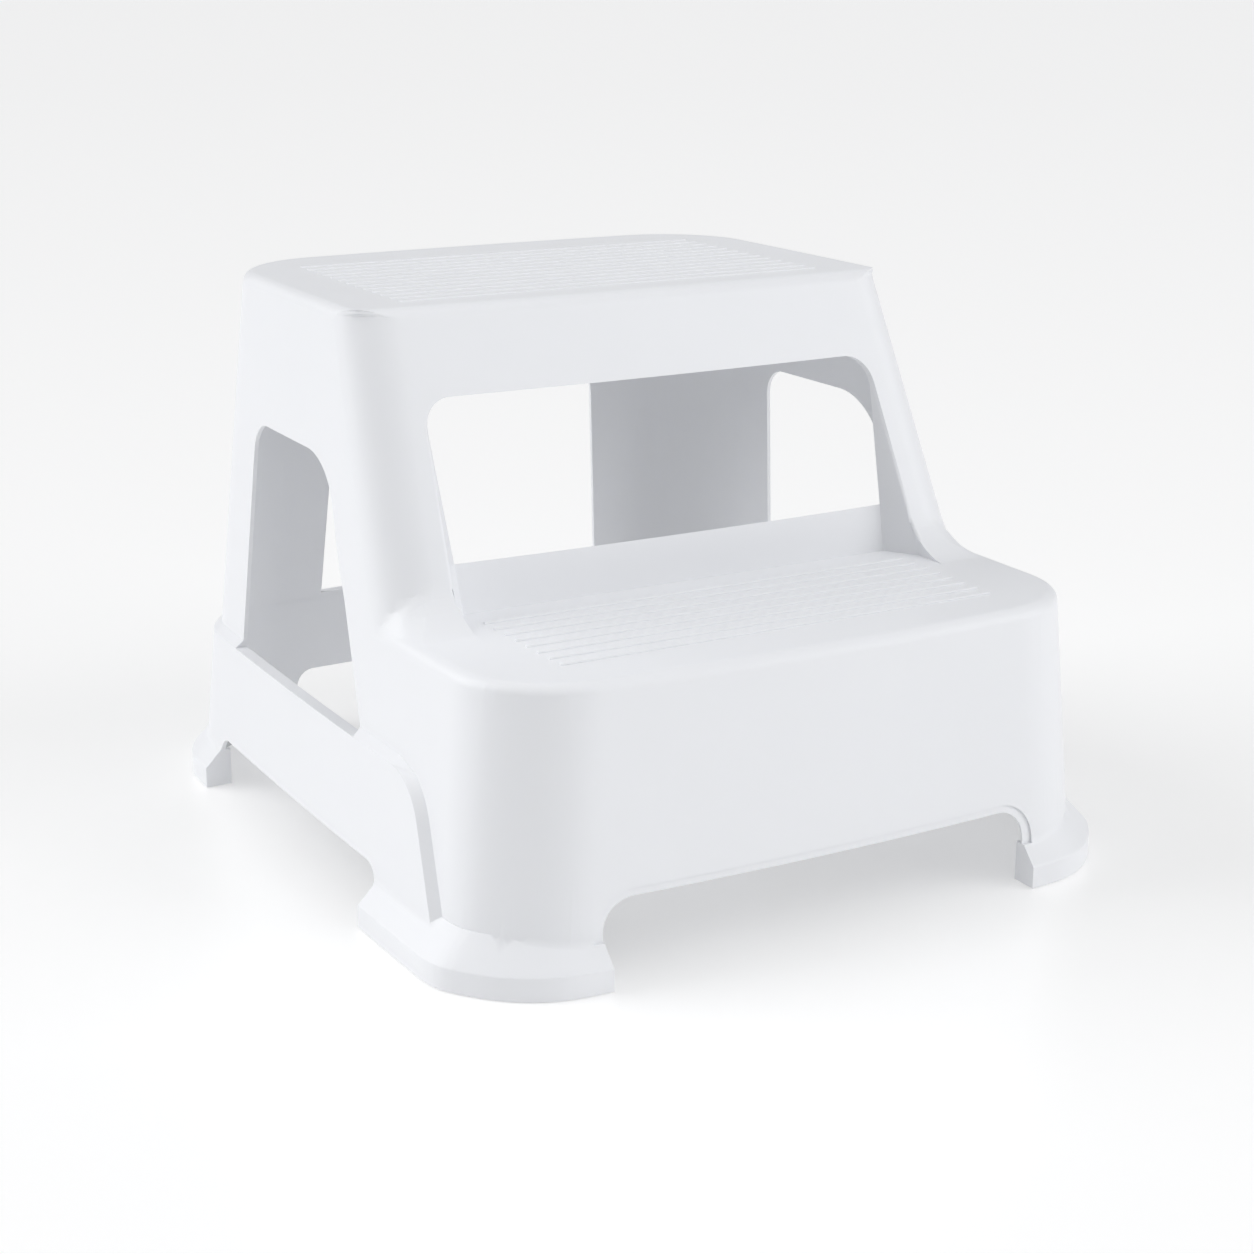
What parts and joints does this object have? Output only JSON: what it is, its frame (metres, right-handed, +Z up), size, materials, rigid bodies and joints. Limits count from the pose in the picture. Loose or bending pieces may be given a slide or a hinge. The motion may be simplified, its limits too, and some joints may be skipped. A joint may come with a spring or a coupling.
{
  "type": "step stool",
  "caption": "Free-standing moulded plastic stool with a low and a high ribbed tread, windowed walls, splayed feet and rubber foot pads.",
  "frame": {"origin": "centre of the footprint, on the floor under the foot pads", "axes": "+Z up; -Y is the front, where the low tread is; +X is to the right of a person facing the back of the stool from the front"},
  "size_m": [0.5288, 0.5771, 0.391],
  "materials": {
    "white_plastic": "satin injection-moulded white",
    "pad_rubber": "soft light grey"
  },
  "bodies": {
    "root": {"moulded_shell": "white_plastic", "front_left_foot_pad": "pad_rubber", "front_right_foot_pad": "pad_rubber", "rear_left_foot_pad": "pad_rubber", "rear_right_foot_pad": "pad_rubber"}
  },
  "joints": []
}
